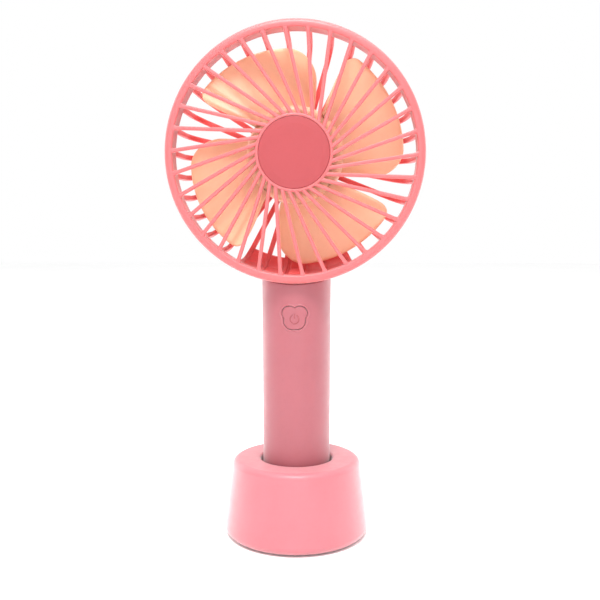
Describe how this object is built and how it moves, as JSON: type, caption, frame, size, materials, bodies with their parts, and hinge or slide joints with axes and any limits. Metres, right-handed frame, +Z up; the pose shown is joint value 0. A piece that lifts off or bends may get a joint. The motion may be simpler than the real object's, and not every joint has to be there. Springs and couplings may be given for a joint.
{
  "type": "handheld electric fan",
  "caption": "Handheld electric fan: a round grille with swept spokes and a bladed impeller on a slim cylindrical handle with a power button, standing upright in a tapered desk stand.",
  "frame": {"origin": "centre of the stand's underside, on the surface that it stands on", "axes": "+Z up along the handle; the fan blows towards -Y, and the power button faces -Y; +X is to the right as seen from the front"},
  "size_m": [0.105, 0.0618, 0.2138],
  "materials": {
    "stand_plastic": "satin pink moulded plastic",
    "shell_plastic": "satin pink moulded plastic",
    "grille_plastic": "satin pink moulded plastic",
    "badge_plastic": "smooth blank disc, a deeper pink",
    "blade_plastic": "satin peach moulded plastic",
    "foot_foam": "closed-cell foam",
    "ballast_iron": "plain cast iron",
    "screw_steel": "zinc-plated steel",
    "switch_plastic": "black moulded plastic",
    "board_green": "green solder mask",
    "nickel": "nickel plate",
    "brass": "turned brass",
    "copper": "enamelled copper",
    "cell_wrap": "shrink wrap",
    "lead_red": "insulation",
    "lead_black": "insulation",
    "ferrite": "sintered ferrite",
    "motor_steel": "zinc-plated drawn steel",
    "clear_plastic": "milky translucent plastic",
    "inner_plastic": "natural nylon"
  },
  "bodies": {
    "stand": {"base_shell": "stand_plastic", "base_bottom_plate": "stand_plastic", "ballast_ring": "ballast_iron", "foot_pad": "foot_foam", "base_screws": "screw_steel"},
    "turning_pad": {"socket_pad": "foot_foam"},
    "handle": {"handle_front_shell": "shell_plastic", "handle_rear_shell": "shell_plastic", "handle_screws": "screw_steel", "switch_body": "switch_plastic", "circuit_board": "board_green", "board_chips": "switch_plastic", "board_inductor": "ferrite", "indicator_led": "clear_plastic", "light_pipe": "clear_plastic", "charging_port_shell": "nickel", "charging_port_tongue": "switch_plastic", "battery_cell": "cell_wrap", "battery_terminal": "nickel", "positive_contact": "nickel", "battery_lead": "lead_red", "negative_strip": "nickel", "battery_collar": "inner_plastic", "rear_grille": "grille_plastic", "motor_rear_cover": "grille_plastic", "motor_can": "motor_steel", "motor_end_cap": "inner_plastic", "motor_bushes": "brass", "motor_magnets": "ferrite", "motor_brushes": "copper", "motor_terminals": "nickel", "motor_screws": "screw_steel", "motor_lead_red": "lead_red", "motor_lead_black": "lead_black"},
    "power_button": {"power_button": "shell_plastic"},
    "switch_plunger": {"switch_plunger": "switch_plastic"},
    "front_cover": {"front_grille": "grille_plastic", "badge_disc": "badge_plastic"},
    "rotor": {"impeller": "blade_plastic", "hub_insert": "brass", "motor_shaft": "screw_steel", "armature_core": "motor_steel", "armature_windings": "copper", "commutator": "copper"},
    "battery_cap": {"battery_cap": "shell_plastic", "battery_spring": "nickel"}
  },
  "joints": [
    {"name": "handle_turn", "type": "hinge", "parent": "stand", "child": "turning_pad", "pos_m": [0, 0, 0.0075], "axis": [0, 0, 1], "continuous": true},
    {"name": "handle_lift", "type": "slide", "parent": "turning_pad", "child": "handle", "axis": [0, 0, 1], "range_m": [0, 0.06]},
    {"name": "impeller_spin", "type": "hinge", "parent": "handle", "child": "rotor", "pos_m": [0, 0, 0.1613], "axis": [0, -1, 0], "continuous": true},
    {"name": "front_cover_twist", "type": "hinge", "parent": "handle", "child": "front_cover", "pos_m": [0, 0, 0.1613], "axis": [0, -1, 0], "range_deg": [0, 8]},
    {"name": "power_button_press", "type": "slide", "parent": "handle", "child": "power_button", "axis": [0, 1, 0], "range_m": [0, 0.0005], "stiffness_N_per_m": 3000},
    {"name": "switch_plunger_press", "type": "slide", "parent": "handle", "child": "switch_plunger", "axis": [0, 1, 0], "range_m": [0, 0.0005]},
    {"name": "battery_cap_twist", "type": "hinge", "parent": "handle", "child": "battery_cap", "pos_m": [0, 0, 0.009], "axis": [0, 0, 1], "range_deg": [0, 60]}
  ],
  "couplings": [
    {"joint": "switch_plunger_press", "follows": "power_button_press", "ratio": 1}
  ]
}
